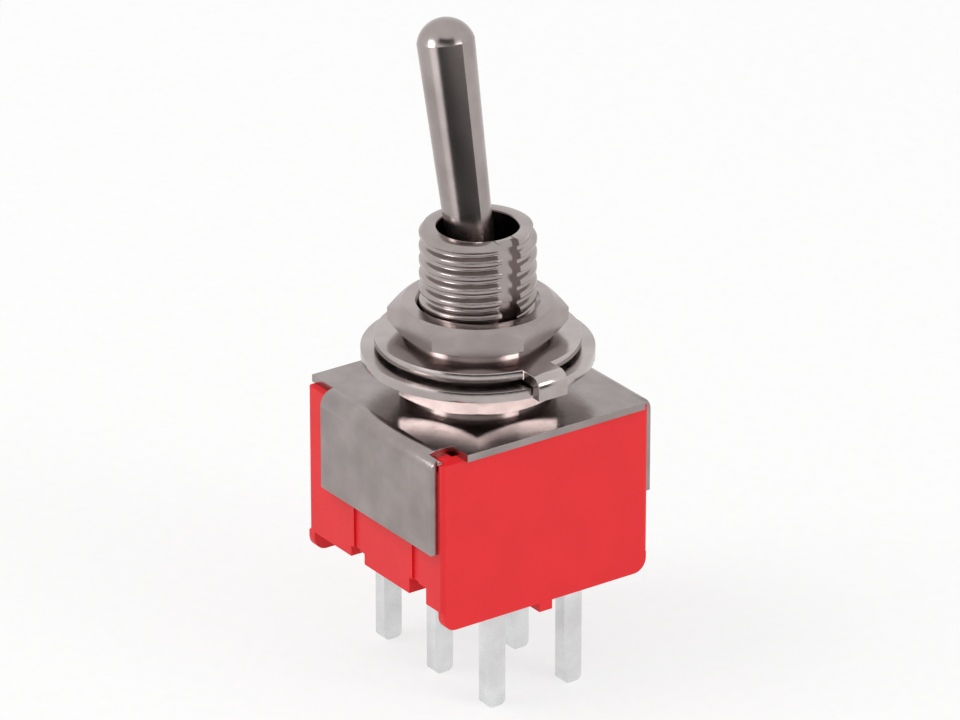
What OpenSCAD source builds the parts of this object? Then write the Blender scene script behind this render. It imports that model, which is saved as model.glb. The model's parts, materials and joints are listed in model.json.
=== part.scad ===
// Miniature double-pole toggle switch for panel or board mounting, in millimetres.
// +Z is up, along the bushing. The lever swings along X. Z = 0 is the plane of the pin tips.

/* [Case] */
// Distance from the outer pins' middles to the ends of the case
case_end_gap = 1.35; // [1.25:0.05:2]
// Width of the case across the two poles
case_y = 12.85; // [12.2:0.1:15]
// Height of the case from its top to the bottom of its side walls
case_side_h = 8.2; // [7.8:0.1:11]
// Depth of the end walls below the side walls
end_lip_h = 1.1; // [0.6:0.1:2]
// Inset of the front lip from the side walls
end_lip_inset = 0.1; // [0:0.05:0.5]
// Thickness of the lips
end_lip_t = 0.5; // [0.4:0.05:0.8]
// Height of the standoff feet below the end walls
foot_h = 0.5; // [0.3:0.05:1]
// Width of a standoff foot
foot_w = 0.8; // [0.5:0.05:1.5]
// Thickness of the end walls
end_wall = 0.8; // [0.6:0.05:0.85]
// Thickness of the side walls
side_wall = 1.15; // [0.9:0.05:1.5]
// Depth of the cavity above the floor
cavity_depth = 6.2; // [5.8:0.1:6.8]
// Thickness of the floor
floor_t = 1; // [0.8:0.05:1.3]
// Radius of the case's upright corners
case_corner_r = 0.25; // [0.1:0.05:0.5]
// Radius of the lower corners of the end walls
lip_corner_r = 0.75; // [0.3:0.05:0.95]
// Width of the upright grooves in the side walls
groove_w = 0.6; // [0.4:0.05:1]
// Depth of those grooves
groove_depth = 0.12; // [0.05:0.01:0.3]
// Thickness of the wall between the two poles
partition_t = 0.8; // [0.6:0.05:1.2]

/* [Frame] */
// Thickness of the sheet metal
sheet_t = 0.4; // [0.3:0.05:0.6]
// Overhang of the top plate past each end of the case
plate_overhang = 0.25; // [0:0.05:0.5]
// Outer radius of the bends
bend_r = 0.83; // [0.6:0.01:1.1]
// Height of the legs, down from the top of the plate
leg_h = 5.4; // [4:0.1:7]
// Distance of each leg from the front end of the case
leg_front_gap = 0.4; // [0.2:0.05:1]
// Distance of each leg from the rear end of the case
leg_rear_gap = 1.75; // [1.2:0.05:2.5]
// Length of the notches in the plate's front corners, from the front end of the case
notch_x = 1.15; // [0.8:0.05:1.6]
// Width of those notches, from the side of the case
notch_y = 1.4; // [1:0.05:2]

/* [Bushing] */
// Outer diameter of the thread
thread_d = 6; // [5.6:0.05:6.4]
// Pitch of the thread
thread_pitch = 0.75; // [0.6:0.05:0.8]
// Depth of the thread
thread_depth = 0.4; // [0.3:0.02:0.4]
// Height of the bushing above the plate
bushing_h = 9.1; // [8.6:0.1:11]
// Diameter of the hole at the top
hole_d = 4.2; // [4.15:0.01:4.3]
// Width of the keyway
keyway_w = 1.15; // [0.8:0.05:1.4]
// Depth of the keyway
keyway_depth = 0.6; // [0.4:0.02:0.62]
// Height of the keyway's lower end above the plate
keyway_end = 2; // [1:0.1:2.4]
// Diameter of the flange under the plate
flange_d = 8.6; // [8:0.1:9.4]
// Thickness of that flange
flange_t = 0.6; // [0.4:0.05:0.7]

/* [Nuts and washers] */
// Width of the nuts across their flats
nut_af = 8; // [7.6:0.1:9]
// Thickness of a nut
nut_t = 1.8; // [1.5:0.05:1.95]
// Height of the round face that a nut seats on
nut_seat_h = 0.25; // [0.1:0.05:0.3]
// Outer diameter of the lock washer
lock_d = 12; // [11:0.1:12.6]
// Thickness of the lock washer's sheet
lock_t = 0.56; // [0.4:0.02:0.6]
// Height of the lock washer over its twisted teeth
lock_free_t = 0.8; // [0.7:0.02:0.9]
// Width of the lock washer's outer ring
lock_rim_w = 1.5; // [1.2:0.05:1.9]
// Number of teeth on the lock washer
lock_teeth = 10; // [8:1:12]
// Twist of each tooth
tooth_twist = 12; // [4:1:14]
// Outer diameter of the locating washer
locating_d = 10.6; // [10:0.1:11]
// Thickness of the locating washer
locating_t = 0.6; // [0.4:0.02:0.7]
// Depth of the step under the locating washer's rim
locating_step = 0.12; // [0.04:0.02:0.2]
// Width of that step
locating_step_w = 0.9; // [0.4:0.05:1.2]
// Width of the locating washer's tab
tab_w = 1.76; // [1.2:0.02:2.4]
// Length of the tab, down from the top of the washer
tab_drop = 1.25; // [1:0.05:1.6]

/* [Lever] */
// Height of the pivot above the plate
pivot_h = 4.9; // [4.6:0.05:5.2]
// Length of the lever from the pivot to its tip
lever_len = 14.8; // [13:0.1:18]
// Diameter of the lever near the tip
tip_d = 2.98; // [2.6:0.02:3.2]
// Diameter of the lever where it leaves the bushing
neck_d = 2.5; // [2.2:0.02:2.6]
// Height of the rounded tip
dome_h = 1.2; // [0.8:0.05:1.5]
// Lean of the lever each side of upright
throw = 12; // [9:0.5:12]
// Diameter of the ball that the lever pivots on
ball_d = 4.36; // [4.3:0.02:4.4]
// Diameter of the lever's stem below the ball
stem_d = 1.9; // [1.6:0.05:2]

/* [Mechanism] */
// Distance between the two poles
pole_pitch = 4.8; // [4.6:0.05:5.2]
// Distance between neighbouring pins of one pole
pin_pitch = 4.7; // [4.2:0.1:5.5]
// Height of the rockers' pivots above the floor
rocker_h = 1.1; // [1:0.05:1.3]
// Thickness of the rocker blades
rocker_t = 0.3; // [0.2:0.02:0.34]
// Width of the rocker blades
rocker_w = 2; // [1.6:0.05:2.2]
// Rise of each rocker arm from level
rocker_rise = 12; // [11:0.5:13]
// Tilt of a rocker each side of level
rocker_tilt = 6; // [5:0.5:7]
// Reach of each rocker arm past the middle of its outer pin
rocker_over = 0.05; // [0:0.05:0.2]
// Radius of the bead that a rocker pivots on
bead_r = 0.25; // [0.2:0.01:0.26]
// Width of the actuator along X
actuator_x = 2.6; // [2.2:0.1:2.7]
// Distance of the actuator's top from the pivot
actuator_top = 6.45; // [6.4:0.01:6.6]
// Height of the actuator
actuator_h = 2.2; // [2:0.05:2.3]
// Diameter of the plungers
plunger_d = 1.5; // [1.3:0.05:1.6]
// Diameter of the hollow inside a plunger
plunger_hollow_d = 1; // [0.9:0.02:1.1]
// Travel of a plunger against its spring
plunger_travel = 0.35; // [0.2:0.05:0.4]
// Diameter of the spring wire
spring_wire = 0.14; // [0.1:0.01:0.16]
// Number of turns in a plunger spring
spring_turns = 6; // [4:1:7]

/* [Terminals] */
// Thickness of the pins along X
pin_x = 0.8; // [0.6:0.05:0.86]
// Width of the pins along Y
pin_y = 1.1; // [0.8:0.05:1.3]
// Length of the pins below the standoff feet
pin_len = 5.2; // [3:0.1:7]
// Thickness of the sealing compound under the floor
seal_t = 0.5; // [0.3:0.05:0.7]
// Radius of the contact domes
dome_r = 0.6; // [0.5:0.05:0.7]

/* [Clearances] */
// Radial gap between a nut or washer and the thread
thread_gap = 0.02; // [0.01:0.01:0.05]
// Radial gap around the lever's ball
ball_gap = 0.05; // [0.03:0.01:0.06]
// Radial gap around a plunger
plunger_gap = 0.05; // [0.03:0.01:0.08]
// Gap around a rocker's bead and blade
rocker_gap = 0.04; // [0.03:0.01:0.06]
// Gap between a closed contact's two faces
contact_gap = 0.03; // [0.02:0.01:0.05]
// Gap between a plunger's tip and its rocker at rest
tip_gap = 0.16; // [0.12:0.01:0.25]
// Gap between the tab and the rim of the lock washer
tab_gap = 0.05; // [0.02:0.01:0.1]
// Gap between the ends of the legs and the ends of the chamfers in the case behind their bends
bend_gap = 0.1; // [0.05:0.01:0.3]
// Gap at each end of the actuator
actuator_gap = 0.08; // [0.05:0.01:0.15]

/* [Hidden] */

$fn = 64;
eps = 0.01;

red = [0.91, 0.22, 0.24];
steel = [0.62, 0.60, 0.58];
nickel = [0.55, 0.53, 0.50];
silver = [0.78, 0.77, 0.75];
nylon = [0.90, 0.89, 0.84];
resin = [0.30, 0.22, 0.16];

// Small details
head_hx = 0.5;
ear_t = 0.3;
ear_rise = 0.45;
step_reach = 0.55;
step_hy = 1;
step_rise = 0.35;
rim_chamfer = 0.25;
thread_start = 0.15;
engaged_share = 0.6;
crest_share = 0.125;
root_share = 0.25;
dome_inset = 0.3;
mouth_h = 0.12;
nut_face_inset = 0.15;
nut_seat_inset = 0.25;
nut_countersink = 0.2;
tooth_w = 1.1;
tooth_root = 0.15;
tooth_tip_gap = 0.15;
key_gap = 0.06;
spring_gap = 0.03;
partition_rise = 0.75;
edge_chamfer = bend_r - sheet_t + 0.02;
// Distances from the front end of the case to each groove in the side walls, and to the ends of
// each notch in them, with the notch's height
groove_gaps = [7.66, 2.4];
wall_notches = [[8.2, 7, 0.6], [2.95, 1.45, 0.9]];
// Directions that one corner of each nut points in
lower_nut_turn = -35;
upper_nut_turn = -5;

// Heights, from the pin tips up
foot_z = pin_len;
lip_z = foot_z + foot_h;
side_z = lip_z + end_lip_h;
case_top = side_z + case_side_h;
plate_top = case_top + sheet_t;
cavity_floor = case_top - cavity_depth;
floor_z = cavity_floor - floor_t;
rocker_z = cavity_floor + rocker_h;
pivot_z = plate_top + pivot_h;
bushing_top = plate_top + bushing_h;

// Half sizes that several pieces share
case_hx = pin_pitch + case_end_gap;
case_hy = case_y / 2;
plate_hx = case_hx + plate_overhang;
leg_hy = case_hy + sheet_t;
leg_front_x = case_hx - leg_front_gap;
leg_rear_x = leg_rear_gap - case_hx;
cavity_hx = case_hx - end_wall;
cavity_hy = case_hy - side_wall;
thread_r = thread_d / 2;
// Radius at which the thread and the nuts meet, half way down the flanks of the thread
engaged_r = thread_r - thread_depth * engaged_share;
ball_r = ball_d / 2;
socket_r = ball_r + ball_gap;
hole_r = hole_d / 2;
locating_r = locating_d / 2;
lock_r = lock_d / 2;
pole_y = pole_pitch / 2;

// The stack on the bushing, from the plate up
lock_z = plate_top + nut_t;
locating_z = lock_z + lock_free_t;
upper_nut_z = locating_z + locating_t;
tab_x = max(lock_r, locating_r) + tab_gap;

// The turns of thread that stand clear of the upper nut, and the height of the lowest one
thread_turns = floor((bushing_top - rim_chamfer - upper_nut_z - nut_t - thread_start)
    / thread_pitch - crest_share);
first_crest_z = bushing_top - rim_chamfer - thread_pitch * (crest_share + thread_turns);

// The lever rests leaning back by the throw, and the front rocker arms are then down
arm_slope = rocker_rise - rocker_tilt;
plunger_r = plunger_d / 2;
bore_r = plunger_r + plunger_gap;
// Distance of the plunger tip's centre from the lever's pivot
tip_rho = ((pivot_z - rocker_z) * cos(arm_slope) - (rocker_t / 2 + plunger_r + tip_gap))
    / cos(throw - arm_slope);
actuator_bottom = actuator_top + actuator_h;
bore_top = actuator_top + 0.3;
plunger_top = bore_top + plunger_travel + 0.05;
hollow_end = tip_rho - 0.4;
stem_end = actuator_top + 1.5;
// Seat of the ball: the edge of the smaller hole just clears the ball
seat_rise = sqrt(pow(ball_r + 0.02, 2) - pow(hole_r, 2));
// Centre of the contact domes, which touch the lowered rocker arms from below
dome_x = pin_pitch - dome_inset;
rocker_reach = pin_pitch + rocker_over;
dome_z = rocker_z
    + (dome_x * sin(arm_slope) - (rocker_t / 2 + dome_r + contact_gap)) / cos(arm_slope);

module slab(x0, x1, y0, y1, z0, z1) {
    translate([x0, y0, z0]) cube([x1 - x0, y1 - y0, z1 - z0]);
}

// A rectangle centred on the origin with round corners
module round_rect(x, y, r) {
    square([x - 2 * r, y], center = true);
    square([x, y - 2 * r], center = true);
    for (sx = [-1, 1]) for (sy = [-1, 1])
        translate([sx * (x / 2 - r), sy * (y / 2 - r)]) circle(r = r, $fn = 32);
}

// Places children about the lever's pivot, with their own +Z along the lever
module on_lever() {
    translate([0, 0, pivot_z]) rotate([0, -throw, 0]) children();
}

// Places children at each of the two poles
module at_pole(side) {
    translate([0, side * pole_y, 0]) children();
}

/* Case */

// A wall's lower lip, in the plane across the case, with round lower corners
module lip_outline(half_y) {
    translate([-half_y, lip_corner_r - end_lip_h])
        square([2 * half_y, end_lip_h - lip_corner_r + eps]);
    translate([lip_corner_r - half_y, -end_lip_h])
        square([2 * (half_y - lip_corner_r), end_lip_h]);
    for (s = [-1, 1]) translate([s * (half_y - lip_corner_r), lip_corner_r - end_lip_h])
        circle(r = lip_corner_r, $fn = 32);
}

module end_lip(x0, x1, half_y) {
    translate([x0, 0, side_z]) rotate([90, 0, 90]) linear_extrude(x1 - x0) lip_outline(half_y);
}

module case_shell() {
    difference() {
        translate([0, 0, side_z]) linear_extrude(case_side_h)
            round_rect(2 * case_hx, case_y, case_corner_r);
        slab(-cavity_hx, cavity_hx, -cavity_hy, cavity_hy, cavity_floor, case_top + eps);
        slab(-cavity_hx, cavity_hx, -cavity_hy, cavity_hy, side_z - eps, floor_z);
    }
    slab(-cavity_hx - eps, cavity_hx + eps, -partition_t / 2, partition_t / 2,
        cavity_floor - eps, rocker_z + partition_rise);
}

module case_feet() {
    end_lip(case_hx - end_lip_t, case_hx, case_hy - end_lip_inset);
    end_lip(-case_hx, end_lip_t - case_hx, case_hy);
    for (s = [-1, 1]) translate([s * (case_hx - end_wall / 2), 0, 0])
        slab(-end_wall / 2, end_wall / 2, -foot_w / 2, foot_w / 2, foot_z, side_z + eps);
}

// Grooves and notches in both side walls
module side_cuts() {
    for (s = [-1, 1]) for (gap = groove_gaps) translate([case_hx - gap, 0, 0])
        slab(-groove_w / 2, groove_w / 2, s * case_hy - groove_depth,
            s * case_hy + groove_depth, side_z - eps, case_top + eps);
    for (s = [-1, 1]) for (n = wall_notches)
        translate([0, s * (case_hy - side_wall / 2), 0])
            slab(case_hx - n[0], case_hx - n[1], -side_wall, side_wall, side_z - eps, side_z + n[2]);
    for (s = [-1, 1])
        translate([leg_rear_x - bend_gap, s * case_hy, case_top - edge_chamfer]) rotate([45, 0, 0])
            cube([leg_front_x - leg_rear_x + 2 * bend_gap, edge_chamfer * sqrt(2),
                edge_chamfer * sqrt(2)]);
}

module all_pins(grow) {
    for (side = [-1, 1]) at_pole(side) for (x = [-pin_pitch, 0, pin_pitch])
        slab(x - pin_x / 2 - grow, x + pin_x / 2 + grow, -pin_y / 2 - grow, pin_y / 2 + grow,
            0, cavity_floor + eps);
}

module case() {
    color(red) difference() {
        union() {
            case_shell();
            case_feet();
        }
        side_cuts();
        all_pins(0);
    }
}

module terminal_seal() {
    color(resin) difference() {
        slab(-cavity_hx, cavity_hx, -cavity_hy, cavity_hy, floor_z - seal_t, floor_z);
        all_pins(0);
    }
}

/* Frame */

// Outline of the bent sheet's outside or inside, across the case, with its top at zero
module bent_outline(half_y, r) {
    translate([-half_y, -leg_h - eps]) square([2 * half_y, leg_h + eps - r]);
    translate([r - half_y, -leg_h]) square([2 * (half_y - r), leg_h]);
    for (s = [-1, 1]) translate([s * (half_y - r), -r]) circle(r = r);
}

module bent_sheet() {
    translate([-plate_hx, 0, plate_top]) rotate([90, 0, 90]) linear_extrude(2 * plate_hx)
        difference() {
            bent_outline(leg_hy, bend_r);
            translate([0, -sheet_t]) bent_outline(case_hy, bend_r - sheet_t);
        }
}

module frame() {
    far_x = plate_hx + 1;
    bend_y = leg_hy - bend_r;
    color(steel) difference() {
        bent_sheet();
        slab(-far_x, far_x, -far_x, far_x, plate_top - leg_h - 1, plate_top - leg_h);
        for (s = [-1, 1]) {
            translate([0, s * (bend_y + bend_r), 0]) {
                slab(leg_front_x, far_x, -bend_r, bend_r, 0, plate_top + eps);
                slab(-far_x, leg_rear_x, -bend_r, bend_r, 0, plate_top + eps);
            }
        }
        translate([0, notch_y / 2 - case_hy, 0])
            slab(case_hx - notch_x, far_x, -notch_y / 2, notch_y / 2,
                plate_top - sheet_t - eps, plate_top + eps);
        translate([0, 0, case_top - eps]) cylinder(r = engaged_r + thread_gap, h = sheet_t + 2 * eps);
    }
}

/* Bushing and its fasteners */

// Half of the bushing's outline above its flange: plain where the nuts and washers sit, with a
// ring for each turn of thread above them
module bushing_outline() {
    top_z = bushing_top - rim_chamfer - thread_pitch * crest_share;
    flank_h = thread_pitch * (1 - crest_share - root_share) / 2;
    plain_z = case_top - flange_t;
    polygon(concat(
        [[0, plain_z], [engaged_r, plain_z], [engaged_r, first_crest_z - flank_h * engaged_share]],
        [for (i = [thread_turns : -1 : 0]) let (z = top_z - i * thread_pitch) each concat(
            [[thread_r, z], [thread_r, z + thread_pitch * crest_share]],
            i == 0 ? [] : [for (h = [0, root_share]) [thread_r - thread_depth,
                z + flank_h + thread_pitch * (crest_share + h)]])],
        [[thread_r - rim_chamfer, bushing_top], [0, bushing_top]]));
}

module bushing() {
    flange_z = case_top - flange_t;
    color(nickel) difference() {
        union() {
            translate([0, 0, flange_z]) cylinder(r = flange_d / 2, h = flange_t);
            rotate_extrude() bushing_outline();
        }
        translate([0, 0, flange_z - eps]) cylinder(r = socket_r, h = pivot_z + seat_rise - flange_z);
        translate([0, 0, pivot_z]) cylinder(r = hole_r, h = bushing_h);
        translate([0, 0, bushing_top - mouth_h])
            cylinder(r1 = hole_r, r2 = hole_r + mouth_h, h = mouth_h + eps);
        slab(thread_r - keyway_depth, thread_r + 1, -keyway_w / 2, keyway_w / 2,
            plate_top + keyway_end, bushing_top + eps);
    }
}

// A hexagon nut with a round seat below, both ends of its hexagon chamfered and its bore
// countersunk; one corner points along the given angle
module hex_nut(corner_angle) {
    corner_r = nut_af / 2 / cos(30);
    face_r = nut_af / 2 - nut_face_inset;
    seat_r = face_r - nut_seat_inset;
    turned_r = corner_r + nut_face_inset;
    bevel = (turned_r - face_r) * tan(30);
    nut_bore_r = engaged_r + thread_gap;
    sink_r = thread_r + nut_countersink;
    sink_h = sink_r - nut_bore_r;
    intersection() {
        rotate([0, 0, corner_angle]) cylinder(r = corner_r, h = nut_t, $fn = 6);
        rotate_extrude() polygon([[nut_bore_r, sink_h], [sink_r, 0], [seat_r, 0],
            [seat_r, nut_seat_h], [face_r, nut_seat_h], [turned_r, nut_seat_h + bevel],
            [turned_r, nut_t - bevel], [face_r, nut_t], [sink_r, nut_t],
            [nut_bore_r, nut_t - sink_h]]);
    }
}

module hex_nut_lower() {
    color(nickel) translate([0, 0, plate_top]) hex_nut(lower_nut_turn);
}

module hex_nut_upper() {
    color(nickel) translate([0, 0, upper_nut_z]) hex_nut(upper_nut_turn);
}

// Internal-tooth lock washer: a flat ring whose inner teeth are each twisted
module lock_washer() {
    ring_r = lock_r - lock_rim_w;
    tooth_x = thread_r + tooth_tip_gap;
    color(nickel) translate([0, 0, lock_z + (lock_free_t - lock_t) / 2]) {
        difference() {
            cylinder(r = lock_r, h = lock_t);
            translate([0, 0, -eps]) cylinder(r = ring_r, h = lock_t + 2 * eps);
        }
        for (i = [0 : lock_teeth - 1])
            rotate([0, 0, (i + 0.5) * 360 / lock_teeth]) translate([tooth_x, 0, lock_t / 2])
                rotate([tooth_twist, 0, 0])
                    translate([0, -tooth_w / 2, -lock_t / 2])
                        cube([ring_r - tooth_x + tooth_root, tooth_w, lock_t]);
    }
}

// Outline of the locating washer's arm and its tab, in the plane of the swing
module tab_outline() {
    outer_x = tab_x + locating_t;
    translate([locating_r - 0.5, -locating_t]) square([outer_x - locating_t - locating_r + 0.5, locating_t]);
    translate([tab_x, -tab_drop]) square([locating_t, tab_drop - locating_t]);
    translate([tab_x, -locating_t]) intersection() {
        circle(r = locating_t);
        square(locating_t);
    }
}

module locating_washer() {
    key_hy = keyway_w / 2 - key_gap;
    color(nickel) translate([0, 0, locating_z]) {
        difference() {
            union() {
                translate([0, 0, locating_step]) cylinder(r = locating_r, h = locating_t - locating_step);
                cylinder(r = locating_r - locating_step_w, h = locating_t);
            }
            translate([0, 0, -eps]) cylinder(r = thread_r + 2 * thread_gap, h = locating_t + 2 * eps);
        }
        slab(thread_r - keyway_depth + key_gap, thread_r + 0.5, -key_hy, key_hy, 0, locating_t);
        translate([0, tab_w / 2, locating_t]) rotate([90, 0, 0]) linear_extrude(tab_w) tab_outline();
    }
}

/* Lever and actuator */

module lever() {
    tip_r = tip_d / 2;
    dome_sphere_r = (tip_r * tip_r + dome_h * dome_h) / (2 * dome_h);
    rim_rho = bushing_h - pivot_h;
    color(nickel) on_lever() {
        translate([0, 0, -stem_end]) cylinder(r = stem_d / 2, h = stem_end);
        sphere(r = ball_r);
        cylinder(r1 = neck_d / 2 - 0.05, r2 = neck_d / 2, h = rim_rho);
        translate([0, 0, rim_rho])
            cylinder(r1 = neck_d / 2, r2 = tip_r, h = lever_len - dome_h - rim_rho);
        intersection() {
            translate([0, 0, lever_len - dome_sphere_r]) sphere(r = dome_sphere_r);
            translate([0, 0, lever_len - dome_h]) cylinder(r = tip_r, h = dome_h);
        }
    }
}

module actuator() {
    half_y = cavity_hy - actuator_gap;
    color(nylon) on_lever() difference() {
        slab(-actuator_x / 2, actuator_x / 2, -half_y, half_y, -actuator_bottom, -actuator_top);
        translate([0, 0, -stem_end]) cylinder(r = stem_d / 2, h = actuator_h);
        for (side = [-1, 1]) at_pole(side) translate([0, 0, -actuator_bottom - eps])
            cylinder(r = bore_r, h = actuator_bottom - bore_top + eps);
    }
}

// A hollow plunger with a round tip that bears on its rocker
module plunger(side) {
    color(nylon) on_lever() at_pole(side) difference() {
        union() {
            translate([0, 0, -tip_rho]) cylinder(r = plunger_r, h = tip_rho - plunger_top);
            translate([0, 0, -tip_rho]) sphere(r = plunger_r);
        }
        translate([0, 0, -hollow_end])
            cylinder(r = plunger_hollow_d / 2, h = hollow_end - plunger_top + eps);
    }
}

// Point on a closed-end coil: the first and last turns lie nearly flat
function coil_point(t, r, h, turns) =
    [r * cos(360 * turns * t), r * sin(360 * turns * t), h * (t < 0.5 ? pow(2 * t, 1.3) : 2 - pow(2 - 2 * t, 1.3)) / 2];

// A round wire swept along a coil that stands on z = 0
module coil(r, wire, h, turns) {
    sides = 8;
    rings = turns * 16;
    rise = h - wire;
    points = [for (i = [0 : rings]) for (j = [0 : sides - 1])
        let (t = i / rings, a = 360 * turns * t, b = 360 * j / sides, c = coil_point(t, r, rise, turns))
        [c[0] + wire / 2 * cos(b) * cos(a), c[1] + wire / 2 * cos(b) * sin(a), c[2] + wire / 2 * (1 + sin(b))]];
    faces = concat(
        [[for (j = [0 : sides - 1]) j]],
        [for (i = [0 : rings - 1]) for (j = [0 : sides - 1]) let (k = (j + 1) % sides)
            [i * sides + j, (i + 1) * sides + j, (i + 1) * sides + k, i * sides + k]],
        [[for (j = [sides - 1 : -1 : 0]) rings * sides + j]]);
    polyhedron(points = points, faces = faces, convexity = 8);
}

module plunger_spring(side) {
    color(silver) on_lever() at_pole(side) translate([0, 0, -hollow_end])
        coil(plunger_hollow_d / 2 - spring_wire / 2 - spring_gap, spring_wire, hollow_end - bore_top, spring_turns);
}

/* Contacts and terminals */

// A springy blade that rises to both ends and rocks on the bead under its middle
module rocker(side) {
    color(silver) at_pole(side) translate([0, 0, rocker_z]) rotate([0, rocker_tilt, 0]) {
        for (turn = [0, 180]) rotate([0, 0, turn]) rotate([0, -rocker_rise, 0])
            translate([0, -rocker_w / 2, -rocker_t / 2]) cube([rocker_reach, rocker_w, rocker_t]);
        rotate([90, 0, 0]) translate([0, 0, -rocker_w / 2]) cylinder(r = bead_r, h = rocker_w);
    }
}

module pin(x) {
    tip = pin_y * 0.3;
    slab(x - pin_x / 2, x + pin_x / 2, -pin_y / 2, pin_y / 2, tip, cavity_floor + eps);
    translate([x - pin_x / 2, 0, 0]) rotate([90, 0, 90]) linear_extrude(pin_x) {
        translate([tip - pin_y / 2, 0]) square([pin_y - 2 * tip, tip + eps]);
        for (s = [-1, 1]) translate([s * (pin_y / 2 - tip), tip]) circle(r = tip, $fn = 32);
    }
}

// The middle pin ends in a cradle for the rocker's bead, between two ears
module common_terminal(side) {
    ear_y = rocker_w / 2 + rocker_gap;
    bed_z = rocker_z - rocker_t / 2 - rocker_gap;
    color(silver) at_pole(side) {
        pin(0);
        difference() {
            slab(-head_hx, head_hx, -ear_y - ear_t, ear_y + ear_t, cavity_floor, rocker_z + ear_rise);
            slab(-head_hx - eps, head_hx + eps, -ear_y, ear_y, bed_z, rocker_z + ear_rise + eps);
            translate([0, ear_y, rocker_z]) rotate([90, 0, 0])
                cylinder(r = bead_r + rocker_gap, h = 2 * ear_y);
        }
    }
}

// An outer pin ends in a step that carries a domed contact; dir is its end of the case
module throw_terminal(side, dir) {
    color(silver) at_pole(side) rotate([0, 0, dir > 0 ? 0 : 180]) {
        pin(pin_pitch);
        slab(dome_x - step_reach, pin_pitch + pin_x / 2, -step_hy, step_hy, cavity_floor, dome_z + step_rise);
        translate([dome_x, 0, 0]) intersection() {
            translate([0, 0, dome_z]) sphere(r = dome_r);
            slab(-dome_r, dome_r, -dome_r, dome_r, dome_z, dome_z + dome_r);
        }
    }
}

case();
terminal_seal();
frame();
bushing();
hex_nut_lower();
lock_washer();
locating_washer();
hex_nut_upper();
lever();
actuator();
plunger(-1);  // plunger_a
plunger(1);  // plunger_b
plunger_spring(-1);  // plunger_spring_a
plunger_spring(1);  // plunger_spring_b
rocker(-1);  // rocker_a
rocker(1);  // rocker_b
common_terminal(-1);  // common_terminal_a
common_terminal(1);  // common_terminal_b
throw_terminal(-1, 1);  // throw_terminal_a_front
throw_terminal(-1, -1);  // throw_terminal_a_rear
throw_terminal(1, 1);  // throw_terminal_b_front
throw_terminal(1, -1);  // throw_terminal_b_rear
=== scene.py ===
"""Miniature panel toggle switch: red moulded case, nickel-plated bushing, lever, nuts and washers.

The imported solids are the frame. This script gives them their finishes, rounds their edges and
builds the cut thread of the bushing and the round wire of the plungers' springs. Everything is in
metres; +Z is up along the bushing, and +X is the front.
"""

import json
import math

import bmesh
import bpy
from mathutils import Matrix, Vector


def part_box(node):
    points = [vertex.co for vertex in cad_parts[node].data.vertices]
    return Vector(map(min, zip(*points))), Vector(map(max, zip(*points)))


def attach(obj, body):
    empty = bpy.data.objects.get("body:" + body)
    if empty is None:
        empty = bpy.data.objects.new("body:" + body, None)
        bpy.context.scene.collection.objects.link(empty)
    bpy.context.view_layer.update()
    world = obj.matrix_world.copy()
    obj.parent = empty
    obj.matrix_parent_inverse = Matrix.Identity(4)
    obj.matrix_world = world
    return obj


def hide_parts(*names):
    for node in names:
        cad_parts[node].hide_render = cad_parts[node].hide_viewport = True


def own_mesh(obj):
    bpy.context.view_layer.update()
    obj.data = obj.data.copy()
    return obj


MM = 0.001

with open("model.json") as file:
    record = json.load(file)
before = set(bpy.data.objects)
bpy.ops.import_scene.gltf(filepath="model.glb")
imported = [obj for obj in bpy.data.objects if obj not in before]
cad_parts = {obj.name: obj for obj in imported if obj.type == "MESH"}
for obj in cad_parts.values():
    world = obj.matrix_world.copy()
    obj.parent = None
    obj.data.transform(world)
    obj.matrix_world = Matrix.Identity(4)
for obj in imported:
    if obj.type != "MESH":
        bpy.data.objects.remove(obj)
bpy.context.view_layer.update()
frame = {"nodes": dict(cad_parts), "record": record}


# ---------------------------------------------------------------- finishes

# Sizes of the patterns that every finish has, in millimetres
TARNISH_SIZE = 2.2
CLOUD_SIZE = 3.0
# Middle of a noise pattern that carries its marks
MARKS_LOW, MARKS_HIGH = 0.3, 0.7
# Where a finish turns from its shade to its base tone
SHADE_END, BASE_START = 0.35, 0.65
# Roughness in and between the marks, as shares of the finish's own
PLATE_SMOOTHER, PLATE_ROUGHER = 0.8, 1.25
PLASTIC_SMOOTHER, PLASTIC_ROUGHER = 0.88, 1.15


def srgb(code):
    """A hex colour such as "e8383e" as the linear RGBA that the shaders take."""
    channels = [int(code[i : i + 2], 16) / 255 for i in (0, 2, 4)]
    linear = [c / 12.92 if c <= 0.04045 else ((c + 0.055) / 1.055) ** 2.4 for c in channels]
    return (*linear, 1.0)


def per_mm(size):
    """The texture scale whose features are about this many millimetres across."""
    return 1.0 / (size * MM)


def add(tree, kind, settings=None, stops=(), **inputs):
    """Adds one node. Settings are its properties, stops are a ramp's (place, colour) pairs, and
    inputs are values or output sockets to link, by name or by number (_0)."""
    made = tree.nodes.new(kind)
    for name, value in (settings or {}).items():
        setattr(made, name, value)
    for _ in stops[2:]:
        made.color_ramp.elements.new(0.5)
    for number, (place, colour) in enumerate(stops):
        made.color_ramp.elements[number].position = place
        made.color_ramp.elements[number].color = colour
    for name, value in inputs.items():
        socket = made.inputs[int(name[1:]) if name[0] == "_" else name.replace("_", " ")]
        if isinstance(value, bpy.types.NodeSocket):
            tree.links.new(value, socket)
        else:
            socket.default_value = value
    return made


def finish_tree(name):
    """A new material with its output node, and the object coordinates that its patterns use."""
    material = bpy.data.materials.new(name)
    material.use_nodes = True
    tree = material.node_tree
    tree.nodes.clear()
    output = tree.nodes.new("ShaderNodeOutputMaterial")
    place = add(tree, "ShaderNodeTexCoord").outputs["Object"]
    return material, tree, output, place


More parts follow.
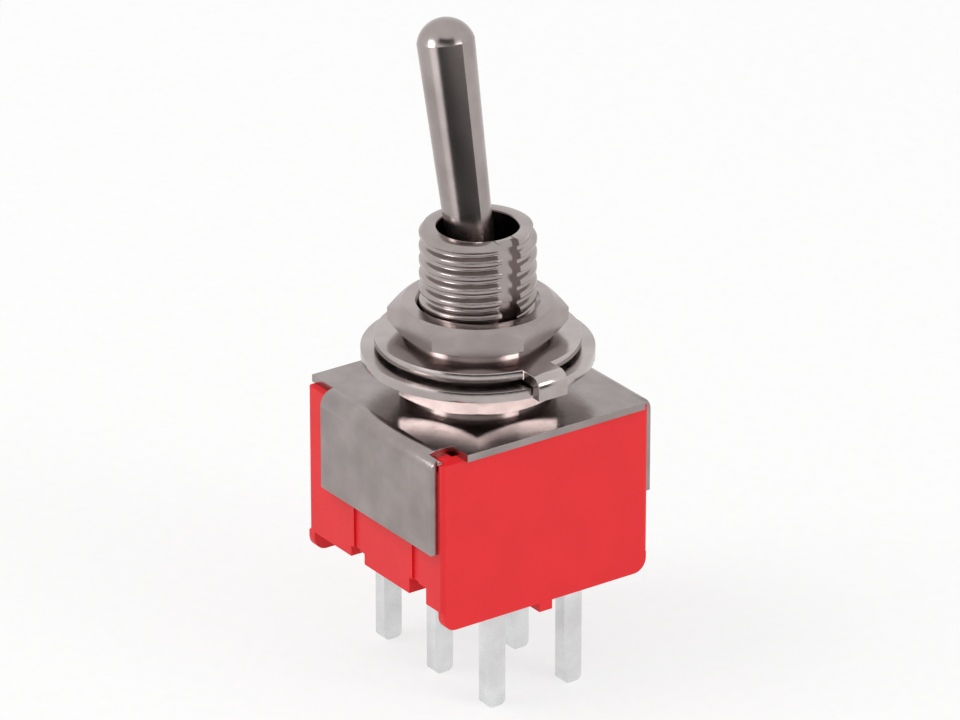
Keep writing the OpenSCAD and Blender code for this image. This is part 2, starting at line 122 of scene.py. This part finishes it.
def nickel_plate(name, base, shade, roughness, grain, grain_bump, stretch=(1, 1, 1)):
    """Plating or bare wire: a warm mirror, softened by fine marks.

    base and shade are its two tones, grain is the size of its marks in millimetres and stretch
    draws them out along an axis, as a tool or a draw die leaves them. The marks are drawn coarser
    than real ones, so that they show.
    """
    material, tree, output, place = finish_tree(name)
    along = add(tree, "ShaderNodeMapping", Vector=place, Scale=stretch).outputs["Vector"]
    marks = add(
        tree, "ShaderNodeTexNoise", Vector=along, Scale=per_mm(grain), Detail=6.0, Roughness=0.6
    ).outputs["Fac"]
    tarnish = add(
        tree,
        "ShaderNodeTexNoise",
        Vector=place,
        Scale=per_mm(TARNISH_SIZE),
        Detail=3.0,
        Roughness=0.5,
    ).outputs["Fac"]
    colour = add(
        tree,
        "ShaderNodeValToRGB",
        stops=[(SHADE_END, srgb(shade)), (BASE_START, srgb(base))],
        Fac=tarnish,
    ).outputs["Color"]
    spread = add(
        tree,
        "ShaderNodeMapRange",
        Value=marks,
        From_Min=MARKS_LOW,
        From_Max=MARKS_HIGH,
        To_Min=roughness * PLATE_SMOOTHER,
        To_Max=roughness * PLATE_ROUGHER,
    ).outputs["Result"]
    bump = add(
        tree, "ShaderNodeBump", Strength=grain_bump, Distance=0.02 * MM, Height=marks
    ).outputs["Normal"]
    shader = add(
        tree,
        "ShaderNodeBsdfPrincipled",
        Base_Color=colour,
        Metallic=1.0,
        Roughness=spread,
        Normal=bump,
    )
    tree.links.new(shader.outputs["BSDF"], output.inputs["Surface"])
    return material


def moulded_plastic(name, base, shade, roughness, texture):
    """Moulded or poured plastic: an even colour with the texture of its mould, drawn coarser than
    the real one so that it shows. texture is its size in millimetres."""
    material, tree, output, place = finish_tree(name)
    clouds = add(
        tree,
        "ShaderNodeTexNoise",
        Vector=place,
        Scale=per_mm(CLOUD_SIZE),
        Detail=3.0,
        Roughness=0.5,
    ).outputs["Fac"]
    skin = add(
        tree, "ShaderNodeTexNoise", Vector=place, Scale=per_mm(texture), Detail=4.0, Roughness=0.6
    ).outputs["Fac"]
    colour = add(
        tree,
        "ShaderNodeValToRGB",
        stops=[(SHADE_END, srgb(shade)), (BASE_START, srgb(base))],
        Fac=clouds,
    ).outputs["Color"]
    spread = add(
        tree,
        "ShaderNodeMapRange",
        Value=skin,
        From_Min=MARKS_LOW,
        From_Max=MARKS_HIGH,
        To_Min=roughness * PLASTIC_SMOOTHER,
        To_Max=roughness * PLASTIC_ROUGHER,
    ).outputs["Result"]
    bump = add(tree, "ShaderNodeBump", Strength=0.25, Distance=0.01 * MM, Height=skin).outputs[
        "Normal"
    ]
    shader = add(
        tree,
        "ShaderNodeBsdfPrincipled",
        Base_Color=colour,
        Metallic=0.0,
        Roughness=spread,
        IOR=1.5,
        Normal=bump,
    )
    tree.links.new(shader.outputs["BSDF"], output.inputs["Surface"])
    return material


# Glass-filled polyester, moulded: strong even red with a soft sheen.
red_polyester = moulded_plastic("red_polyester_moulded", "ea101c", "e50d19", 0.5, 0.12)
# Nylon, moulded: warm white and slightly waxy.
white_nylon = moulded_plastic("white_nylon_moulded", "ece9dc", "e2decf", 0.45, 0.2)
# Epoxy, poured: dark brown, with the gloss of a set liquid.
epoxy_seal = moulded_plastic("epoxy_poured", "4a3526", "3c2a1e", 0.25, 0.6)
# Brass, turned and nickel-plated: grey mirror with fine lathe marks round the thread.
turned_nickel = nickel_plate("nickel_turned_brass", "aca2a0", "9c9290", 0.2, 0.09, 0.1, (1, 1, 6))
# Steel, pressed and nickel-plated: the same grey, a little softer.
washer_nickel = nickel_plate("nickel_pressed_steel", "b9b0ae", "aaa19f", 0.2, 0.15, 0.12)
# Brass rod, drawn and nickel-plated: marks run along the lever.
lever_nickel = nickel_plate("nickel_drawn_rod", "a89e9c", "988e8c", 0.2, 0.1, 0.1, (6, 6, 0.5))
# Steel sheet, rolled and nickel-plated: satin, with a cloudy grain.
frame_nickel = nickel_plate("nickel_rolled_sheet", "a29997", "918886", 0.2, 0.25, 0.2)
# Copper alloy, stamped and silver-plated: pale and satin.
silver_plate = nickel_plate("silver_stamped_pins", "e7e9ea", "d6d6d6", 0.3, 0.12, 0.12, (3, 3, 1))
# Music wire, coiled: dark bright steel.
spring_wire = nickel_plate("spring_wire_drawn", "8c8882", "7a766f", 0.25, 0.08, 0.1)

NODE_FINISHES = {
    "case": red_polyester,
    "terminal_seal": epoxy_seal,
    "frame": frame_nickel,
    "hex_nut_lower": turned_nickel,
    "hex_nut_upper": turned_nickel,
    "lock_washer": washer_nickel,
    "locating_washer": washer_nickel,
    "lever": lever_nickel,
    "actuator": white_nylon,
    "plunger_a": turned_nickel,
    "plunger_b": turned_nickel,
    "rocker_a": silver_plate,
    "rocker_b": silver_plate,
    "common_terminal_a": silver_plate,
    "common_terminal_b": silver_plate,
    "throw_terminal_a_front": silver_plate,
    "throw_terminal_a_rear": silver_plate,
    "throw_terminal_b_front": silver_plate,
    "throw_terminal_b_rear": silver_plate,
}

# Corners closer than this are one corner, and an edge sharper than this angle is rounded
WELD_GAP = 0.001 * MM
ROUNDED_ANGLE = math.radians(28)
# How far the edges of each node are rounded, in millimetres
EDGE_ROUNDING = {
    "case": 0.07,
    "frame": 0.05,
    "lock_washer": 0.06,
    "locating_washer": 0.05,
    "common_terminal_a": 0.06,
    "common_terminal_b": 0.06,
    "throw_terminal_a_front": 0.06,
    "throw_terminal_a_rear": 0.06,
    "throw_terminal_b_front": 0.06,
    "throw_terminal_b_rear": 0.06,
}


def round_edges(piece, radius):
    """Rounds the sharp edges of a solid, as tumbling or moulding leaves them."""
    weld = piece.modifiers.new("weld", "WELD")
    weld.merge_threshold = WELD_GAP
    bevel = piece.modifiers.new("edge", "BEVEL")
    bevel.width = radius * MM
    bevel.segments = 2
    bevel.limit_method = "ANGLE"
    bevel.angle_limit = ROUNDED_ANGLE
    bevel.use_clamp_overlap = True
    bevel.harden_normals = False


for name, finish in NODE_FINISHES.items():
    node = frame["nodes"][name]
    node.data.materials.clear()
    node.data.materials.append(finish)
    if name in EDGE_ROUNDING:
        round_edges(node, EDGE_ROUNDING[name])


# ---------------------------------------------------------------- threaded bushing

bushing_low, bushing_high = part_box("bushing")
THREAD_R = 3.0 * MM
PITCH = 0.75 * MM
THREAD_DEPTH = 0.33 * MM
HOLE_R = 2.1 * MM
SOCKET_R = 2.23 * MM
KEYWAY_HALF = 0.575 * MM
KEYWAY_FLOOR = 2.4 * MM
KEYWAY_END = 2.0 * MM
RIM_CHAMFER = 0.25 * MM
FLANGE_R = 4.3 * MM
RUNOUT = 0.4 * MM
# Share of a pitch's wave that is flat crest, and the share after it that is flank
CREST_SHARE = 0.12
FLANK_SHARE = 0.8
PLATE_T = 0.4 * MM
PIVOT_ABOVE_PLATE = 4.9 * MM
# The socket's mouth under the flange, and the rows where the socket closes in to the hole
MOUTH_R = 2.35 * MM
MOUTH_CHAMFER = 0.12 * MM
CLOSING_ROWS = 6
CLOSING_TURN = 3
# The hole's edge at the top: its depth, its width, and a first bend in between
HOLE_EDGE_DEPTH = 0.08 * MM
HOLE_EDGE_WIDTH = 0.12 * MM
HOLE_BEND_WIDTH = 0.05 * MM
EDGE_BEND_DEPTH = 0.02 * MM
# Where the rim's chamfer bends, as a share of its width
RIM_BEND = 0.8
KEYWAY_STEP = 0.01 * MM
COLUMNS = 208
KEYWAY_COLUMNS = 12
ROWS_PER_PITCH = 16
# An edge that turns less than this is shaded smooth
SMOOTH_ANGLE = math.radians(34)

plate_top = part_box("frame")[1].z
bushing_top = bushing_high.z
flange_low = bushing_low.z
flange_high = plate_top - PLATE_T


def thread_radius(angle, z):
    """Radius of the cut thread at an angle and height: flat-topped crests and round roots."""
    phase = (z - plate_top) / PITCH - angle / math.tau
    wave = 0.5 - 0.5 * math.cos(math.tau * phase)
    cut = min(1.0, max(0.0, (wave - CREST_SHARE) / FLANK_SHARE))
    cut = cut * cut * (3 - 2 * cut)
    fade_low = min(1.0, max(0.0, (z - plate_top) / RUNOUT))
    return THREAD_R - THREAD_DEPTH * cut * fade_low


def bushing_columns():
    """Angles round the bushing, with the keyway's walls as places of their own."""
    wall = math.asin(KEYWAY_HALF / THREAD_R)
    places = []
    for i in range(KEYWAY_COLUMNS + 1):
        places.append(("floor", -KEYWAY_HALF + 2 * KEYWAY_HALF * i / KEYWAY_COLUMNS))
    places.append(("lip", KEYWAY_HALF))
    outside = COLUMNS - KEYWAY_COLUMNS - 3
    for i in range(1, outside + 1):
        places.append(("round", wall + (math.tau - 2 * wall) * i / (outside + 1)))
    places.append(("lip", -KEYWAY_HALF))
    return places


def bushing_point(column, radius_at, z, keyed):
    """A point on the bushing's outside, or on the keyway's floor where the column is in it."""
    kind, place = column
    if kind == "round":
        radius = radius_at(place, z)
        return Vector((radius * math.cos(place), radius * math.sin(place), z))
    angle = math.asin(place / THREAD_R)
    radius = radius_at(angle, z)
    if kind == "lip":
        return Vector((math.sqrt(radius * radius - place * place), place, z))
    if keyed:
        floor = min(KEYWAY_FLOOR, math.sqrt(max(radius * radius - place * place, 0.0)))
        return Vector((floor, place, z))
    return Vector((radius * math.cos(angle), radius * math.sin(angle), z))


def threaded_bushing():
    """The bushing as one closed skin: socket, hole, rim, cut thread with its keyway, and flange.
    The thread runs on inside the nuts and washers, where it doesn't show."""
    columns = bushing_columns()
    rows = []

    def ring(radius, z, keyed=False):
        rows.append([bushing_point(c, lambda a, h: radius, z, keyed) for c in columns])

    def thread_ring(z, keyed):
        rows.append([bushing_point(c, thread_radius, z, keyed) for c in columns])

    pivot_z = plate_top + PIVOT_ABOVE_PLATE
    ring(MOUTH_R, flange_low)
    ring(SOCKET_R, flange_low + MOUTH_CHAMFER)
    ring(SOCKET_R, pivot_z)
    for step in range(1, CLOSING_ROWS + 1):
        turn = math.radians(step * CLOSING_TURN)
        ring(max(HOLE_R, SOCKET_R * math.cos(turn)), pivot_z + SOCKET_R * math.sin(turn))
    ring(HOLE_R, bushing_top - HOLE_EDGE_DEPTH)
    ring(HOLE_R + HOLE_BEND_WIDTH, bushing_top - EDGE_BEND_DEPTH)
    ring(HOLE_R + HOLE_EDGE_WIDTH, bushing_top)
    ring(THREAD_R - RIM_CHAMFER, bushing_top, keyed=True)
    ring(THREAD_R - RIM_CHAMFER * RIM_BEND, bushing_top - EDGE_BEND_DEPTH, keyed=True)

    thread_first = len(rows)
    keyway_z = plate_top + KEYWAY_END
    z = bushing_top - RIM_CHAMFER
    step = PITCH / ROWS_PER_PITCH
    keyed = True
    while z > plate_top + step:
        if keyed and z <= keyway_z:
            thread_ring(keyway_z, True)
            thread_ring(keyway_z - KEYWAY_STEP, False)
            keyed = False
            z = keyway_z - step
            continue
        thread_ring(z, keyed)
        z -= step
    thread_last = len(rows) - 1
    ring(THREAD_R, plate_top)
    ring(THREAD_R, flange_high)
    ring(FLANGE_R, flange_high)
    ring(FLANGE_R, flange_low)

    work = bmesh.new()
    grid = [[work.verts.new(p) for p in row] for row in rows]
    for j, row in enumerate(grid):
        above = grid[(j + 1) % len(grid)]
        for i in range(len(columns)):
            k = (i + 1) % len(columns)
            work.faces.new((row[i], row[k], above[k], above[i]))
    bmesh.ops.recalc_face_normals(work, faces=work.faces)
    row_of = {v: j for j, row in enumerate(grid) for v in row}
    for face in work.faces:
        face.smooth = True
    for edge in work.edges:
        a, b = (row_of[v] for v in edge.verts)
        along_thread = a == b and thread_first < a < thread_last
        edge.smooth = along_thread or edge.calc_face_angle() < SMOOTH_ANGLE
    mesh = bpy.data.meshes.new("bushing_threaded")
    work.to_mesh(mesh)
    work.free()
    piece = bpy.data.objects.new("bushing_threaded", mesh)
    bpy.context.scene.collection.objects.link(piece)
    mesh.materials.append(turned_nickel)
    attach(piece, "switch_body")
    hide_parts("bushing")


threaded_bushing()


# ---------------------------------------------------------------- plunger springs

WIRE_R = 0.07 * MM
SPRING_TURNS = 6
RINGS_PER_TURN = 24
WIRE_SIDES = 10
# Above 1, the end turns lie closer, as on a spring whose ends are closed
END_CLOSING = 1.3

frame_joints = {joint["name"]: joint for joint in frame["record"]["behaviour"]["joints"]}


def plunger_spring(side):
    """A coil of round wire above a plunger."""
    low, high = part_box("plunger_spring_" + side)
    press = frame_joints["plunger_" + side + "_press"]
    axis = Vector(press["axis"]).normalized()
    outer = (high.y - low.y) / 2
    across = Vector((axis.z, 0, -axis.x))
    length = ((high.z - low.z) - 2 * outer * abs(axis.x)) / axis.z
    foot = (low + high) / 2 - axis * length / 2
    rings = SPRING_TURNS * RINGS_PER_TURN
    work = bmesh.new()
    wire = []
    for i in range(rings + 1):
        share = i / rings
        turn = math.tau * SPRING_TURNS * share
        radial = across * math.cos(turn) + Vector((0, math.sin(turn), 0))
        half = (2 * min(share, 1 - share)) ** END_CLOSING / 2
        rise = half if share < 0.5 else 1 - half
        middle = foot + radial * (outer - WIRE_R) + axis * (WIRE_R + (length - 2 * WIRE_R) * rise)
        wire.append(
            [
                work.verts.new(
                    middle
                    + radial * WIRE_R * math.cos(math.tau * j / WIRE_SIDES)
                    + axis * WIRE_R * math.sin(math.tau * j / WIRE_SIDES)
                )
                for j in range(WIRE_SIDES)
            ]
        )
    for ring, after in zip(wire, wire[1:]):
        for j in range(WIRE_SIDES):
            k = (j + 1) % WIRE_SIDES
            work.faces.new((ring[j], ring[k], after[k], after[j]))
    work.faces.new(wire[0][::-1])
    work.faces.new(wire[-1])
    bmesh.ops.recalc_face_normals(work, faces=work.faces)
    for face in work.faces:
        face.smooth = len(face.verts) == 4
    mesh = bpy.data.meshes.new("spring_coil_" + side)
    work.to_mesh(mesh)
    work.free()
    mesh.materials.append(spring_wire)
    piece = bpy.data.objects.new("spring_coil_" + side, mesh)
    bpy.context.scene.collection.objects.link(piece)
    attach(piece, "lever")
    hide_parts("plunger_spring_" + side)
    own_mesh(piece)


plunger_spring("a")
plunger_spring("b")


# ---------------------------------------------------------------- floor, light and camera

LENS_AZIMUTH = 55.0
LENS_ELEVATION = 24.5
CAMERA_DISTANCE = 350 * MM
# Width of the view where the camera aims
VIEW_WIDTH = 48.98 * MM
SENSOR_WIDTH = 36.0
CAMERA_AIM = Vector((0.064, 0.088, 16.99)) * MM

# Share of full white that the floor gives the eye by itself, over what the light gives it
FLOOR_WHITE = 0.72
FLOOR_R = 1.2
FLOOR_SEGMENTS = 96
FLOOR_DROP = 0.02 * MM
# Size of the paper's fibre, in millimetres
FIBRE_SIZE = 0.8
# Light of the surroundings on matt surfaces, where 1 is full white
TENT_LEVEL = 0.66

# Flat panels that a bent card is made of
CARD_PANELS = 12
# Each card's name and brightness, the azimuth of its middle from the lens and half its spread in
# degrees, and its distance, lower edge and upper edge in millimetres
CARDS = [
    ("dark_front", 0.02, 13, 49, 90, 0, 33),
    ("bright_left", 1.7, -52, 14, 90, 0, 36),
    ("bright_shoulder", 1.6, 0, 40, 180, 98, 126),
    ("dark_crescent", 0.03, 0, 42, 180, 142, 260),
    ("bright_nut_left", 11.0, -66, 11, 200, 78, 140),
    ("bright_nut_right", 11.0, 54, 11, 200, 78, 140),
]

LAMP_AIM = (0, 0, 0.015)
# Each lamp's name, place, width, height and watts
LAMPS = [
    ("key", (-0.10, -0.22, 0.30), 0.20, 0.20, 0.5),
    ("fill", (0.30, 0.12, 0.16), 0.16, 0.20, 0.3),
]


def towards(azimuth, distance, z):
    """A place at an azimuth round the object, in degrees from -Y towards +X, and a height."""
    turn = math.radians(azimuth)
    return Vector((distance * math.sin(turn), -distance * math.cos(turn), z))


def white_to_the_eye(tree):
    """1 for rays from the lens, a mirror or glass, which see the background; 0 for the rest."""
    path = add(tree, "ShaderNodeLightPath")
    eye = add(
        tree,
        "ShaderNodeMath",
        {"operation": "MAXIMUM"},
        _0=path.outputs["Is Camera Ray"],
        _1=path.outputs["Is Glossy Ray"],
    ).outputs["Value"]
    return add(
        tree,
        "ShaderNodeMath",
        {"operation": "MAXIMUM"},
        _0=eye,
        _1=path.outputs["Is Transmission Ray"],
    ).outputs["Value"]


def floor_finish():
    """White paper: white to the eye and in reflections, and still taking the shadow."""
    material, tree, output, place = finish_tree("floor_paper")
    weight = add(
        tree,
        "ShaderNodeMath",
        {"operation": "MULTIPLY"},
        _0=white_to_the_eye(tree),
        _1=FLOOR_WHITE,
    ).outputs["Value"]
    fibre = add(
        tree, "ShaderNodeTexNoise", Vector=place, Scale=per_mm(FIBRE_SIZE), Detail=4.0
    ).outputs["Fac"]
    colour = add(
        tree,
        "ShaderNodeValToRGB",
        stops=[(0.3, srgb("f3f3f2")), (0.7, srgb("fafaf9"))],
        Fac=fibre,
    ).outputs["Color"]
    paper = add(tree, "ShaderNodeBsdfDiffuse", Color=colour, Roughness=0.5).outputs["BSDF"]
    glow = add(tree, "ShaderNodeEmission", Color=srgb("ffffff"), Strength=1.0).outputs["Emission"]
    mixed = add(tree, "ShaderNodeMixShader", Fac=weight, _1=paper, _2=glow).outputs["Shader"]
    tree.links.new(mixed, output.inputs["Surface"])
    return material


def make_floor():
    """A round sheet of paper just under the pin tips."""
    work = bmesh.new()
    bmesh.ops.create_circle(work, cap_ends=True, radius=FLOOR_R, segments=FLOOR_SEGMENTS)
    mesh = bpy.data.meshes.new("floor")
    work.to_mesh(mesh)
    work.free()
    mesh.materials.append(floor_finish())
    floor = bpy.data.objects.new("floor", mesh)
    floor.location.z = -FLOOR_DROP
    bpy.context.scene.collection.objects.link(floor)


def make_world():
    """White to the eye, and an even softer light on matt surfaces."""
    world = bpy.data.worlds.new("studio")
    bpy.context.scene.world = world
    world.use_nodes = True
    tree = world.node_tree
    tree.nodes.clear()
    output = tree.nodes.new("ShaderNodeOutputWorld")
    tent = add(tree, "ShaderNodeBackground", Color=srgb("ffffff"), Strength=TENT_LEVEL)
    white = add(tree, "ShaderNodeBackground", Color=srgb("ffffff"), Strength=1.0)
    mixed = add(
        tree,
        "ShaderNodeMixShader",
        Fac=white_to_the_eye(tree),
        _1=tent.outputs["Background"],
        _2=white.outputs["Background"],
    ).outputs["Shader"]
    tree.links.new(mixed, output.inputs["Surface"])


def standing_card(name, level, azimuth, spread, distance, low, high):
    """A card bent round the object that only the plating mirrors: dark for a stripe in it,
    bright for a streak. It stands from azimuth - spread to azimuth + spread."""
    material = bpy.data.materials.new(name)
    material.use_nodes = True
    tree = material.node_tree
    tree.nodes.clear()
    output = tree.nodes.new("ShaderNodeOutputMaterial")
    glow = add(tree, "ShaderNodeEmission", Color=srgb("ffffff"), Strength=level)
    tree.links.new(glow.outputs["Emission"], output.inputs["Surface"])
    corners, faces = [], []
    for i in range(CARD_PANELS + 1):
        turn = azimuth - spread + 2 * spread * i / CARD_PANELS
        corners += [towards(turn, distance, low), towards(turn, distance, high)]
    for i in range(0, 2 * CARD_PANELS, 2):
        faces.append((i, i + 2, i + 3, i + 1))
    mesh = bpy.data.meshes.new(name)
    mesh.from_pydata([tuple(c) for c in corners], [], faces)
    mesh.materials.append(material)
    card = bpy.data.objects.new(name, mesh)
    bpy.context.scene.collection.objects.link(card)
    card.visible_camera = False
    card.visible_diffuse = False
    card.visible_transmission = False
    card.visible_shadow = False


def soft_box(name, place, width, height, power):
    """A rectangular lamp that lights the switch and that its plating doesn't mirror."""
    light = bpy.data.lights.new(name, "AREA")
    light.shape = "RECTANGLE"
    light.size = width
    light.size_y = height
    light.energy = power
    lamp = bpy.data.objects.new(name, light)
    lamp.location = place
    lamp.rotation_mode = "QUATERNION"
    lamp.rotation_quaternion = (Vector(LAMP_AIM) - Vector(place)).to_track_quat("-Z", "Y")
    bpy.context.scene.collection.objects.link(lamp)
    lamp.visible_glossy = False


def make_camera():
    """A long lens at the front left corner, looking down on the switch."""
    rise = math.radians(LENS_ELEVATION)
    back = towards(LENS_AZIMUTH, math.cos(rise), math.sin(rise))
    data = bpy.data.cameras.new("camera")
    data.sensor_width = SENSOR_WIDTH
    data.lens = SENSOR_WIDTH * CAMERA_DISTANCE / VIEW_WIDTH
    data.clip_start, data.clip_end = 0.01, 20.0
    camera = bpy.data.objects.new("camera", data)
    camera.location = CAMERA_AIM + back * CAMERA_DISTANCE
    camera.rotation_mode = "QUATERNION"
    camera.rotation_quaternion = (-back).to_track_quat("-Z", "Y")
    bpy.context.scene.collection.objects.link(camera)
    bpy.context.scene.camera = camera


make_floor()
make_world()
for name, level, offset, spread, distance, low, high in CARDS:
    azimuth = LENS_AZIMUTH + offset
    standing_card(name, level, azimuth, spread, distance * MM, low * MM, high * MM)
for lamp in LAMPS:
    soft_box(*lamp)
make_camera()
bpy.context.scene.view_settings.view_transform = "Standard"
